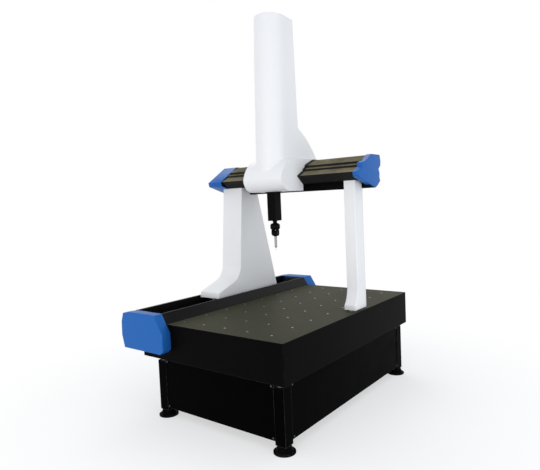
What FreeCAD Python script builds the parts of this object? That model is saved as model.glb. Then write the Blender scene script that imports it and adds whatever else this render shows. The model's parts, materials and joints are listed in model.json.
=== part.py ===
import FreeCAD, Part
import math
import os
from types import SimpleNamespace

import Sketcher
from FreeCAD import Placement, Rotation, Vector

# Moving-bridge coordinate measuring machine. X runs along the beam, Y along the table from front to
# back, Z up. The origin is on the floor, under the middle of the whole machine. The bridge, the
# carriage and the ram stand where they rest, and the probe points straight down.

SIZES = {
    # Granite table; heights are above the floor
    "table_wide": 1280,
    "table_long": 1800,
    "table_under": 434,
    "table_thick": 260,
    "table_chamfer": 5,
    "insert_pitch_x": 196,
    "insert_pitch_y": 224,
    "insert_shift": 78,
    "insert_outer": 7,
    "insert_bore": 3.4,
    "insert_deep": 24,
    # Welded stand with its feet, supports and panels
    "post_side": 78,
    "stand_wide": 1046,
    "stand_long": 1640,
    "stand_shift_x": 47,
    "stand_shift_y": -12,
    "rail_wide": 50,
    "rail_high": 60,
    "low_rail_high": 36,
    "foot_radius": 70,
    "foot_lip": 9,
    "foot_neck": 42,
    "foot_high": 48,
    "support_radius": 34,
    "support_screw": 14,
    "support_plate": 8,
    "panel_low": 70,
    "panel_top_gap": 9,
    "panel_inset": 4,
    "panel_wall": 2.5,
    "panel_fold": 18,
    "screw_head": 6,
    "screw_head_tall": 3.4,
    "screw_edge": 16,
    # Guideway along the left side of the table, with its two end caps
    "guide_rise": 71,
    "wall_foot": 277,
    "wall_top": 228,
    "wall_back": 216,
    "wall_round": 5,
    "lip_gap": 37,
    "lip_wide": 20,
    "cover_wall": 4,
    "cover_low": 506,
    "guide_reach": 782,
    "front_cap_deep": 78,
    "rear_cap_deep": 132,
    "cap_wall": 4,
    "cap_bevel": 5,
    "cap_right": 338,
    "cap_chamfer_low": 636,
    "cap_low": 495,
    "cap_left_in": 25,
    "guide_bar_left": 150,
    "guide_bar_wide": 25,
    "guide_bar_high": 40,
    "drive_bar_left": 120,
    "drive_bar_rise": 18,
    "bar_radius": 7,
    "bar_reach": 4,
    "bar_end_gap": 1,
    "end_plate": 10,
    "buffer_radius": 16,
    "buffer_long": 18,
    "scale_thick": 1,
    "scale_high": 10,
    # Bridge: beam, legs, caps and bellows
    "beam_from_middle": 84,
    "beam_under": 1591,
    "beam_deep": 175,
    "beam_step": 104,
    "beam_high": 175,
    "beam_chamfer": 40,
    "beam_inset": 6,
    "left_foot_over": 26,
    "left_leg_wide": 211,
    "right_foot_margin": 20,
    "right_leg_wide": 91,
    "leg_lip": 7,
    "leg_lip_high": 59,
    "leg_edge": 5,
    "left_foot_front": 355,
    "left_foot_under": 752,
    "left_foot_nose": 46,
    "left_foot_rear": 436,
    "left_leg_top_deep": 208,
    "left_knee_back": 75,
    "left_knee_high": 893,
    "left_knee_round": 140,
    "right_leg_deep": 111,
    "right_foot_out": 47,
    "right_foot_under": 701,
    "right_foot_straight": 36,
    "right_flare_high": 125,
    "right_cap_gap": 32,
    "right_cap_long": 45,
    "left_cap_over": 56,
    "left_cap_long": 151,
    "beam_cap_bevel": 4,
    "bellows_fold": 13,
    "bellows_gap": 0.5,
    "bellows_pleats_left": 26,
    "bellows_pleats_right": 28,
    # Air bearings, drives and readers
    "air_gap": 0.3,
    "foot_pad_radius": 38,
    "foot_pad_thick": 18,
    "pad_stud": 9,
    "side_pad_thick": 12,
    "side_pad_long": 50,
    "wheel_radius": 22,
    "wheel_wide": 12,
    "shaft_radius": 4,
    "shaft_gap": 0.05,
    "motor_radius": 20,
    "motor_long": 84,
    "z_motor_long": 60,
    "reader_long": 40,
    "reader_gap": 0.8,
    # Carriage with its covers
    "carriage_left": 185,
    "carriage_wide": 365,
    "carriage_under": 1596,
    "carriage_top": 1843,
    "carriage_front": 300,
    "carriage_front_high": 1689,
    "carriage_chin": 216,
    "carriage_brow": 162,
    "chin_round": 105,
    "brow_round": 210,
    "carriage_rear": 310,
    "carriage_throat": 15,
    "rear_rise": 44,
    "shell": 4,
    "seal_gap": 7,
    "seal_lip": 1.5,
    "shroud_blend": 20,
    "tower_x": -2.5,
    "tower_half": 125,
    "tower_room": 55,
    "tower_roof_drop": 20,
    "tower_low": 1690,
    "tower_set_back": 12,
    "tower_lean_front": 49,
    "tower_back": 28,
    "tower_lean_back": 30,
    "hump_high": 2085,
    "hump_back": 272,
    "hump_low": 1865,
    "hump_round": 750,
    "frame_half": 75,
    "housing_half": 65,
    "housing_wall": 15,
    "housing_low": 1608,
    "housing_top": 2050,
    "saddle_thick": 20,
    "saddle_gap": 12,
    "web_low": 1651,
    "rear_web_low": 1640,
    "web_gap": 16,
    "ram_pad_wide": 30,
    "ram_pad_high": 70,
    "mast_thick": 15,
    "mast_half": 50,
    "mast_over_ram": 248,
    "window_gap": 60,
    "crosshead_thick": 20,
    "wiper_thick": 6,
    # Ram and counterbalance
    "ram_back": 156.5,
    "ram_side": 76,
    "ram_wall": 8,
    "ram_low": 1372,
    "ram_long": 1250,
    "ram_plate": 16,
    "balance_radius": 20,
    "balance_bore": 17,
    "balance_head": 12,
    "piston_gap": 0.05,
    "piston_low": 2080,
    "piston_tall": 30,
    "balance_rod_radius": 5,
    # Probe head and probe
    "neck_radius": 16.5,
    "neck_tall": 20,
    "neck_flare": 10,
    "spigot_radius": 11,
    "spigot_tall": 18,
    "head_radius": 38,
    "head_tall": 52,
    "head_bevel": 12,
    "ball_radius": 25,
    "cheek_thick": 7,
    "cheek_half": 18,
    "tilt_drop": 27.5,
    "tilt_pin": 4,
    "probe_radius": 10,
    "probe_socket": 14,
    "probe_long": 102,
    "probe_nose": 9,
    "stylus_radius": 1.1,
    "stylus_long": 14,
    "tip_radius": 2.5,
}

INSERT_COLUMNS = 5
INSERT_ROWS = 8

doc = FreeCAD.newDocument("measuring_machine")
sheet = doc.addObject("Spreadsheet::Sheet", "sizes")
for line, (word, number) in enumerate(SIZES.items(), 1):
    sheet.set("A%d" % line, word)
    sheet.set("B%d" % line, str(number))
    sheet.setAlias("B%d" % line, word)
doc.recompute()


class Size:
    """A length with its formula in the sheet's words, so that shapes and places follow the sheet."""

    def __init__(self, formula, number):
        self.formula = formula
        self.number = float(number)

    def __add__(self, other):
        other = sized(other)
        return Size("(%s + %s)" % (self.formula, other.formula), self.number + other.number)

    def __sub__(self, other):
        other = sized(other)
        return Size("(%s - %s)" % (self.formula, other.formula), self.number - other.number)

    def __mul__(self, other):
        other = sized(other)
        return Size("(%s * %s)" % (self.formula, other.formula), self.number * other.number)

    def __truediv__(self, other):
        other = sized(other)
        return Size("(%s / %s)" % (self.formula, other.formula), self.number / other.number)

    def __neg__(self):
        return Size("(0 - %s)" % self.formula, -self.number)

    __radd__ = __add__
    __rmul__ = __mul__

    def __rsub__(self, other):
        return sized(other) - self


def sized(value):
    """The value as a Size; a plain number is its own formula."""
    if isinstance(value, Size):
        return value
    return Size("(%.6f)" % value, value)


s = SimpleNamespace(**{word: Size("sizes." + word, sheet.get(word)) for word in SIZES})

TURNS = {
    "x": Rotation(Vector(0, 1, 0), 90),
    "y": Rotation(Vector(1, 0, 0), -90),
    "z": Rotation(),
}
parts = []


def bind(thing, path, length):
    thing.setExpression(path, sized(length).formula)


def put(thing, spot, turn=None):
    """Places a thing by its base point, turned first where it lies along X or Y."""
    if turn is not None:
        thing.Placement = Placement(Vector(), turn)
    for axis, length in zip("xyz", spot):
        bind(thing, "Placement.Base." + axis, length)
    return thing


def block(name, corner, sides):
    """A box from its lowest corner."""
    box = doc.addObject("Part::Box", name)
    for path, length in zip(("Length", "Width", "Height"), sides):
        bind(box, path, length)
    return put(box, corner)


def rod(name, start, radius, length, along="z"):
    cylinder = doc.addObject("Part::Cylinder", name)
    bind(cylinder, "Radius", radius)
    bind(cylinder, "Height", length)
    return put(cylinder, start, TURNS[along])


def taper(name, start, radius, end_radius, length, along="z"):
    cone = doc.addObject("Part::Cone", name)
    bind(cone, "Radius1", radius)
    bind(cone, "Radius2", end_radius)
    bind(cone, "Height", length)
    return put(cone, start, TURNS[along])


def ball(name, middle, radius):
    sphere = doc.addObject("Part::Sphere", name)
    bind(sphere, "Radius", radius)
    return put(sphere, middle)


def fuse(name, pieces):
    joined = doc.addObject("Part::MultiFuse", name)
    joined.Shapes = pieces
    return joined


def cut(name, base, tools):
    """The base without its tools."""
    removed = doc.addObject("Part::Cut", name)
    removed.Base = base
    removed.Tool = tools[0] if len(tools) == 1 else fuse(name + "_cuts", tools)
    return removed


def common(name, pieces):
    shared = doc.addObject("Part::MultiCommon", name)
    shared.Shapes = pieces
    return shared


def part(name, thing):
    """Names a finished piece as a node of the machine."""
    thing.Label = name
    parts.append(thing)
    return thing


def draw(sketch, corners):
    """Draws a closed outline and ties every corner to the sheet. A corner is (u, v), or (u, v, radius)
    where the edge to the next corner is an arc: it bulges out where the radius is positive, on an
    outline that runs anticlockwise, and in where it is negative."""
    flat = [Vector(sized(corner[0]).number, sized(corner[1]).number, 0) for corner in corners]
    ends = []
    for index, corner in enumerate(corners):
        here, there = flat[index], flat[(index + 1) % len(flat)]
        if len(corner) == 2:
            sketch.addGeometry(Part.LineSegment(here, there), False)
            ends.append((1, 2))
            continue
        radius = sized(corner[2]).number
        chord = there - here
        side = Vector(-chord.y, chord.x, 0).normalize() * math.copysign(1, radius)
        height = math.sqrt(max(radius ** 2 - (chord.Length / 2) ** 2, 0))
        centre = here + chord * 0.5 + side * height
        first, last = (here, there) if radius > 0 else (there, here)
        start = math.atan2(first.y - centre.y, first.x - centre.x)
        stop = math.atan2(last.y - centre.y, last.x - centre.x)
        circle = Part.Circle(centre, Vector(0, 0, 1), abs(radius))
        sketch.addGeometry(Part.ArcOfCircle(circle, start, stop), False)
        ends.append((1, 2) if radius > 0 else (2, 1))
    for index, corner in enumerate(corners):
        after = (index + 1) % len(corners)
        sketch.addConstraint(Sketcher.Constraint("Coincident", index, ends[index][1], after, ends[after][0]))
        for kind, length in (("DistanceX", corner[0]), ("DistanceY", corner[1])):
            length = sized(length)
            rule = Sketcher.Constraint(kind, -1, 1, index, ends[index][0], length.number)
            place = sketch.addConstraint(rule)
            sketch.setExpression("Constraints[%d]" % place, length.formula)
        if len(corner) == 3:
            radius = sized(corner[2])
            rule = Sketcher.Constraint("Radius", index, abs(radius.number))
            place = sketch.addConstraint(rule)
            sign = "" if radius.number > 0 else "0 - "
            sketch.setExpression("Constraints[%d]" % place, sign + radius.formula)


def prism(name, role, corners, length, start=0):
    """A body padded from an outline along +X on the YZ plane, +Y on the XZ plane or +Z on the XY plane."""
    body = doc.addObject("PartDesign::Body", name)
    sketch = body.newObject("Sketcher::SketchObject", name + "_outline")
    plane = [feature for feature in body.Origin.OriginFeatures if feature.Role == role][0]
    sketch.AttachmentSupport = (plane, [""])
    sketch.MapMode = "FlatFace"
    draw(sketch, corners)
    pad = body.newObject("PartDesign::Pad", name + "_pad")
    pad.Profile = sketch
    bind(pad, "Length", length)
    pad.Reversed = role == "XZ_Plane"
    body.Tip = pad
    axis = {"YZ_Plane": "x", "XZ_Plane": "y", "XY_Plane": "z"}[role]
    bind(body, "Placement.Base." + axis, start)
    return body


def revolved(name, corners, spot):
    """A body turned about its own vertical axis, from an outline of (radius, height) corners."""
    body = doc.addObject("PartDesign::Body", name)
    sketch = body.newObject("Sketcher::SketchObject", name + "_outline")
    plane = [feature for feature in body.Origin.OriginFeatures if feature.Role == "XZ_Plane"][0]
    sketch.AttachmentSupport = (plane, [""])
    sketch.MapMode = "FlatFace"
    draw(sketch, corners)
    turned = body.newObject("PartDesign::Revolution", name + "_turned")
    turned.Profile = sketch
    turned.ReferenceAxis = (sketch, ["V_Axis"])
    turned.Angle = 360
    body.Tip = turned
    return put(body, spot)


def edge_names(shape, wanted):
    return ["Edge%d" % (index + 1) for index, edge in enumerate(shape.Edges) if wanted(edge)]


def soften(body, wanted, radius, kind="Fillet"):
    """Rounds or chamfers the edges of a body's last feature that wanted picks."""
    doc.recompute()
    base = body.Tip
    feature = body.newObject("PartDesign::" + kind, body.Name + "_" + kind.lower())
    feature.Base = (base, edge_names(base.Shape, wanted))
    bind(feature, "Radius" if kind == "Fillet" else "Size", radius)
    body.Tip = feature
    return body


def hollow(body, wanted, wall):
    """Shells a body inwards, open at the faces that wanted picks."""
    doc.recompute()
    base = body.Tip
    faces = ["Face%d" % (index + 1) for index, face in enumerate(base.Shape.Faces) if wanted(face)]
    feature = body.newObject("PartDesign::Thickness", body.Name + "_walls")
    feature.Base = (base, faces)
    bind(feature, "Value", wall)
    feature.Reversed = True
    feature.Join = 1
    body.Tip = feature
    return body


def along(edge, axis):
    """Whether a straight edge runs along one axis, given as 0, 1 or 2."""
    if not isinstance(edge.Curve, Part.Line):
        return False
    return abs(abs(edge.Curve.Direction[axis]) - 1) < 1e-6


def flat_at(axis, value):
    """Picks the faces or edges that lie in one plane across an axis."""
    def wanted(shape):
        box = shape.BoundBox
        low, high = [(box.XMin, box.XMax), (box.YMin, box.YMax), (box.ZMin, box.ZMax)][axis]
        return abs(low - value) < 0.01 and abs(high - value) < 0.01
    return wanted


# The table's middle stands off the machine's by what its left and right, front and rear reach differ.
cap_reach = s.table_wide / 2 - s.right_foot_margin + s.right_cap_gap + s.right_cap_long
slab_x = (s.guide_reach - cap_reach) / 2
slab_y = (s.front_cap_deep - s.rear_cap_deep) / 2
slab_left = slab_x - s.table_wide / 2
slab_front = slab_y - s.table_long / 2
slab_rear = slab_y + s.table_long / 2
table_top = s.table_under + s.table_thick


def table():
    nip = s.table_chamfer
    left, right = slab_left, slab_left + s.table_wide
    outline = [
        (left + nip, slab_rear),
        (left, slab_rear - nip),
        (left, slab_front + nip),
        (left + nip, slab_front),
        (right - nip, slab_front),
        (right, slab_front + nip),
        (right, slab_rear - nip),
        (right - nip, slab_rear),
    ]
    slab = prism("granite_slab", "XY_Plane", outline, s.table_thick, s.table_under)
    holes, bushes, bores = [], [], []
    for column in range(INSERT_COLUMNS):
        for line in range(INSERT_ROWS):
            x = slab_x + s.insert_shift + (column - (INSERT_COLUMNS - 1) / 2) * s.insert_pitch_x
            y = slab_y + (line - (INSERT_ROWS - 1) / 2) * s.insert_pitch_y
            spot = (x, y, table_top - s.insert_deep)
            holes.append(rod("insert_hole", spot, s.insert_outer, s.insert_deep + 1))
            bushes.append(rod("insert_bush", spot, s.insert_outer, s.insert_deep))
            bores.append(rod("insert_bore", spot, s.insert_bore, s.insert_deep + 1))
    part("granite_table", cut("granite_with_holes", slab, holes))
    part("table_inserts", cut("bushes_with_bores", fuse("bushes", bushes), bores))


def stand():
    post_top = s.table_under - s.support_plate * 3
    middle_x = slab_x + s.stand_shift_x
    middle_y = slab_y + s.stand_shift_y
    bars, feet, supports = [], [], []
    for side_x in (-1, 1):
        for side_y in (-1, 1):
            x = middle_x + side_x * s.stand_wide / 2
            y = middle_y + side_y * s.stand_long / 2
            corner = (x - s.post_side / 2, y - s.post_side / 2, s.foot_high)
            bars.append(block("post", corner, (s.post_side, s.post_side, post_top - s.foot_high)))
            feet.append(rod("foot_flange", (x, y, 0), s.foot_radius, s.foot_lip))
            flare = (x, y, s.foot_lip)
            feet.append(taper("foot_flare", flare, s.foot_radius - 14, s.foot_neck, s.foot_high - s.foot_lip))
            supports.append(rod("support_base", (x, y, post_top), s.support_radius, s.support_plate))
            screw = (x, y, post_top + s.support_plate)
            supports.append(rod("support_screw", screw, s.support_screw, s.support_plate))
            pad = (x, y, post_top + s.support_plate * 2)
            supports.append(rod("support_pad", pad, s.support_radius, s.support_plate))
    between_x = s.stand_wide - s.post_side
    between_y = s.stand_long - s.post_side
    low = s.panel_low + s.panel_fold
    for side in (-1, 1):
        y = middle_y + side * s.stand_long / 2 - s.rail_wide / 2
        x = middle_x + side * s.stand_wide / 2 - s.rail_wide / 2
        from_x, from_y = middle_x - between_x / 2, middle_y - between_y / 2
        top = post_top - s.rail_high
        bars.append(block("top_rail", (from_x, y, top), (between_x, s.rail_wide, s.rail_high)))
        bars.append(block("low_rail", (from_x, y, low), (between_x, s.rail_wide, s.low_rail_high)))
        bars.append(block("top_side_rail", (x, from_y, top), (s.rail_wide, between_y, s.rail_high)))
        bars.append(block("low_side_rail", (x, from_y, low), (s.rail_wide, between_y, s.low_rail_high)))
    part("stand_frame", fuse("stand_bars", bars))
    part("stand_feet", fuse("feet", feet))
    part("table_supports", fuse("supports", supports))
    panels(middle_x, middle_y, between_x, between_y)


def panels(middle_x, middle_y, between_x, between_y):
    """Folded sheets between the posts; their screws go into the rails behind."""
    high = s.table_under - s.panel_top_gap - s.panel_low
    reach = (s.post_side - s.rail_wide) / 2 - s.panel_inset
    screws = []
    for name, side in (("front_panel", -1), ("rear_panel", 1)):
        rail_face = middle_y + side * (s.stand_long / 2 + s.rail_wide / 2)
        face = rail_face + side * reach
        low_y = face if side < 0 else rail_face
        x = middle_x - between_x / 2
        sheet_y = low_y if side < 0 else low_y + reach - s.panel_wall
        plate = block(name + "_sheet", (x, sheet_y, s.panel_low), (between_x, s.panel_wall, high))
        folds = []
        for fold_x in (x, x + between_x - s.panel_wall):
            folds.append(block(name + "_fold", (fold_x, low_y, s.panel_low), (s.panel_wall, reach, high)))
        for fold_z in (s.panel_low, s.panel_low + high - s.panel_wall):
            folds.append(block(name + "_fold", (x, low_y, fold_z), (between_x, reach, s.panel_wall)))
        part(name, fuse(name + "_folded", [plate] + folds))
        for screw_x in (x + s.screw_edge, x + between_x - s.screw_edge):
            for screw_z in (s.panel_low + s.screw_edge, s.panel_low + high - s.screw_edge):
                head_y = face - s.screw_head_tall if side < 0 else face
                spot = (screw_x, head_y, screw_z)
                screws.append(rod("panel_screw", spot, s.screw_head, s.screw_head_tall, "y"))
    for name, side in (("left_panel", -1), ("right_panel", 1)):
        rail_face = middle_x + side * (s.stand_wide / 2 + s.rail_wide / 2)
        face = rail_face + side * reach
        low_x = face if side < 0 else rail_face
        y = middle_y - between_y / 2
        sheet_x = low_x if side < 0 else low_x + reach - s.panel_wall
        plate = block(name + "_sheet", (sheet_x, y, s.panel_low), (s.panel_wall, between_y, high))
        folds = []
        for fold_y in (y, y + between_y - s.panel_wall):
            folds.append(block(name + "_fold", (low_x, fold_y, s.panel_low), (reach, s.panel_wall, high)))
        for fold_z in (s.panel_low, s.panel_low + high - s.panel_wall):
            folds.append(block(name + "_fold", (low_x, y, fold_z), (reach, between_y, s.panel_wall)))
        part(name, fuse(name + "_folded", [plate] + folds))
        for screw_y in (y + s.screw_edge, y + between_y - s.screw_edge):
            for screw_z in (s.panel_low + s.screw_edge, s.panel_low + high - s.screw_edge):
                head_x = face - s.screw_head_tall if side < 0 else face
                spot = (head_x, screw_y, screw_z)
                screws.append(rod("panel_screw", spot, s.screw_head, s.screw_head_tall, "x"))
    part("panel_screws", fuse("screws", screws))


guide_top = table_top + s.guide_rise
wall_back = slab_left + s.wall_back
bar_left = slab_left + s.guide_bar_left
y_bar_x = slab_left + s.drive_bar_left
y_bar_z = table_top + s.drive_bar_rise


def guideway():
    wall = [
        (wall_back, table_top),
        (slab_left + s.wall_foot, table_top),
        (slab_left + s.wall_top, guide_top),
        (wall_back, guide_top),
    ]
    body = prism("wall_profile", "XZ_Plane", wall, s.table_long, slab_front)
    top = guide_top.number
    soften(body, lambda edge: along(edge, 1) and abs(edge.BoundBox.ZMin - top) < 0.01, s.wall_round)
    part("guide_inner_wall", body)

    out = slab_x - s.guide_reach
    lip = slab_left - s.lip_gap
    side = [
        (lip, guide_top),
        (lip - s.lip_wide, guide_top),
        (out + s.cap_left_in, guide_top - s.cap_left_in),
        (out + s.cap_bevel, s.cap_chamfer_low),
        (out + s.cap_left_in, s.cover_low),
        (slab_left, s.cover_low),
        (slab_left, s.cover_low + s.cover_wall),
        (out + s.cap_left_in + s.cover_wall, s.cover_low + s.cover_wall),
        (out + s.cap_bevel + s.cover_wall, s.cap_chamfer_low),
        (out + s.cap_left_in + s.cover_wall, guide_top - s.cap_left_in - s.cover_wall / 2),
        (lip - s.lip_wide, guide_top - s.cover_wall),
        (lip - s.cover_wall, guide_top - s.cover_wall),
        (lip - s.cover_wall, s.table_under + s.table_thick / 2),
        (slab_left, s.table_under + s.table_thick / 2),
        (slab_left, s.table_under + s.table_thick / 2 - s.cover_wall),
        (lip, s.table_under + s.table_thick / 2 - s.cover_wall),
    ]
    shell = prism("outer_cover_skin", "XZ_Plane", side[:12][::-1], s.table_long, slab_front)
    apron = [
        (lip - s.cover_wall, guide_top - s.cover_wall),
        (lip - s.cover_wall, side[12][1]),
        (slab_left, side[13][1]),
        (slab_left, side[13][1] + s.cover_wall),
        (lip, side[13][1] + s.cover_wall),
        (lip, guide_top),
        (lip - s.cover_wall, guide_top),
    ]
    inner = prism("outer_cover_apron", "XZ_Plane", apron, s.table_long, slab_front)
    part("guide_outer_cover", fuse("outer_cover", [shell, inner]))

    lug = slab_left + s.wall_foot
    cap = [
        (out + s.cap_left_in, s.cap_low),
        (slab_x - s.cap_right - s.cap_left_in, s.cap_low),
        (slab_x - s.cap_right + s.cap_bevel, s.cap_low + s.cap_left_in),
        (slab_x - s.cap_right + s.cap_bevel, s.cap_chamfer_low),
        (lug - (s.wall_foot - s.wall_top), guide_top),
        (lip, guide_top),
        (out + s.cap_left_in, guide_top - s.cap_bevel * 2.5),
        (out + s.cap_bevel / 2, s.cap_chamfer_low + s.cap_left_in * 2),
        (out, s.cap_chamfer_low - s.cap_left_in * 2),
    ]
    front = prism("front_cap_block", "XZ_Plane", cap, s.front_cap_deep, slab_front - s.front_cap_deep)
    hollow(front, flat_at(1, s.front_cap_deep.number), s.cap_wall)
    soften(front, flat_at(1, 0), s.cap_bevel)
    part("front_guide_cap", front)
    rear = prism("rear_cap_block", "XZ_Plane", cap, s.rear_cap_deep, slab_rear)
    hollow(rear, flat_at(1, 0), s.cap_wall)
    soften(rear, flat_at(1, s.rear_cap_deep.number), s.cap_bevel)
    part("rear_guide_cap", rear)

    part("guide_bar", block("lateral_guide_bar", (bar_left, slab_front, table_top),
                            (s.guide_bar_wide, s.table_long, s.guide_bar_high)))
    part("y_drive_bar", rod("y_bar", (y_bar_x, slab_front, y_bar_z), s.bar_radius, s.table_long, "y"))
    part("y_scale", block("y_scale_strip", (wall_back - s.scale_thick, slab_front, y_bar_z),
                          (s.scale_thick, s.table_long, s.scale_high)))
    plates, buffers = [], []
    for y, buffer_y in ((slab_front - s.end_plate, slab_front), (slab_rear, slab_rear - s.buffer_long)):
        plates.append(block("end_plate", (slab_left, y, table_top - s.guide_rise),
                            (s.wall_back, s.end_plate, s.guide_rise * 2 - s.cap_bevel)))
        middle = (y_bar_x - s.foot_pad_radius * 2, buffer_y, table_top + s.guide_rise / 2)
        buffers.append(rod("buffer", middle, s.buffer_radius, s.buffer_long, "y"))
    part("guide_end_plates", fuse("end_plates", plates))
    part("travel_buffers", fuse("buffers", buffers))


beam_front = slab_y + s.beam_from_middle
beam_rear = beam_front + s.beam_deep
beam_top = s.beam_under + s.beam_high
left_leg_x = slab_left - s.left_foot_over
right_leg_x = slab_x + s.table_wide / 2 - s.right_foot_margin - s.right_leg_wide
beam_start = left_leg_x + s.beam_inset
beam_end = slab_x + cap_reach - s.cap_wall - s.bar_end_gap - s.bar_reach
beam_long = beam_end - beam_start
lip_top = s.beam_under + s.leg_lip_high


def leg_front_edge(edge):
    """Picks the two long edges down a leg's front, from below the lip to the foot."""
    box = edge.BoundBox
    across = box.XMax - box.XMin < 0.01
    return across and box.YMax < (beam_front - s.leg_lip).number + 0.01 and box.ZMax < lip_top.number + 1


def legs():
    knee = (beam_front - s.left_knee_back, s.left_knee_high)
    left = [
        (beam_front - s.left_foot_front, s.left_foot_under),
        (beam_front + s.left_foot_rear, s.left_foot_under),
        (beam_front + s.left_leg_top_deep, s.beam_under),
        (beam_front + s.beam_step, s.beam_under),
        (beam_front + s.beam_step, lip_top),
        (beam_front - s.leg_lip, lip_top),
        knee,
        (beam_front - s.left_foot_front + s.leg_lip, s.left_foot_under + s.left_foot_nose),
    ]
    body = prism("left_leg_casting", "YZ_Plane", left, s.left_leg_wide, left_leg_x)

    def at_knee(edge):
        box = edge.BoundBox
        near = abs(box.YMin - knee[0].number) < 0.01 and abs(box.ZMin - knee[1].number) < 0.01
        return along(edge, 0) and near

    soften(body, at_knee, s.left_knee_round)
    soften(body, leg_front_edge, s.leg_edge)
    room = s.motor_radius + s.wheel_radius - 8
    pocket_low = (y_bar_x - s.wheel_wide - s.motor_long - 10, bridge_drive_y - room, s.left_foot_under - 1)
    pocket = block("drive_pocket", pocket_low, (s.motor_long + s.wheel_wide * 2 + 20, room * 2, 24))
    part("left_leg", cut("left_leg_with_pocket", body, [pocket]))

    straight = s.right_foot_under + s.right_foot_straight
    right = [
        (beam_front - s.leg_lip - s.right_foot_out, s.right_foot_under),
        (beam_front + s.right_leg_deep + s.leg_lip, s.right_foot_under),
        (beam_front + s.right_leg_deep, s.beam_under),
        (beam_front + s.beam_step, s.beam_under),
        (beam_front + s.beam_step, lip_top),
        (beam_front - s.leg_lip, lip_top),
        (beam_front - s.leg_lip, straight + s.right_flare_high, -flare_round),
        (beam_front - s.leg_lip - s.right_foot_out, straight),
    ]
    body = prism("right_leg_casting", "YZ_Plane", right, s.right_leg_wide, right_leg_x)
    soften(body, lambda edge: leg_front_edge(edge) and edge.BoundBox.ZMin > straight.number - 1, s.leg_edge)
    part("right_leg", body)


# The flare's arc meets the column upright, and leaves it for the foot's straight front.
flare_round = (s.right_flare_high * s.right_flare_high + s.right_foot_out * s.right_foot_out) / (
    2 * s.right_foot_out)
bridge_drive_y = beam_front + 60


def cap_outline(stepped):
    """The beam caps' end profile: two lobes behind, a nose in front, and a brow, stepped on the right."""
    rear = [
        (182, 0), (214, 14), (263, 50), (251, 76), (254, 109), (240, 139), (271, 165), (276, 199),
        (262, 247),
    ]
    brow = [(128, 247), (38, 196), (-24, 182), (-24, 151)] if stepped else [(118, 247)]
    return [(beam_front + back, s.beam_under + rise) for back, rise in rear + brow + [(-98, 114), (-88, 80)]]


def bellows_outline(grow):
    """The bellows' outer profile, grown or shrunk square to its facets, from front hem to rear hem."""
    points = [
        (-15, 60), (-90, 116), (-12, 153), (-8, 168), (16, 180), (20, 197), (130, 243), (250, 243),
        (262, 199), (256, 166), (228, 139), (240, 109), (238, 77), (248, 51),
    ]
    grown = []
    for index, (back, rise) in enumerate(points):
        before = points[max(index - 1, 0)]
        after = points[min(index + 1, len(points) - 1)]
        run = Vector(after[0] - before[0], after[1] - before[1], 0).normalize()
        grown.append((back - run.y * grow, rise + run.x * grow))
    return grown


def bellows(name, start, length, pleats):
    """A pleated sleeve, open below: ridges and valleys follow one another along the beam."""
    fold = s.bellows_fold.number
    ridge, valley, lining = bellows_outline(0), bellows_outline(-fold * 0.35), bellows_outline(-fold)
    step = length.number / (2 * pleats)

    def ring(outer, x):
        loop = outer + lining[::-1]
        corners = [Vector(x, beam_front.number + back, s.beam_under.number + rise) for back, rise in loop]
        return Part.makePolygon(corners + corners[:1])

    rings = [ring(valley if index % 2 == 0 else ridge, index * step) for index in range(2 * pleats + 1)]
    sleeve = doc.addObject("Part::Feature", name + "_folds")
    sleeve.Shape = Part.makeLoft(rings, True, True)
    bind(sleeve, "Placement.Base.x", start)
    return part(name, sleeve)


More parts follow.
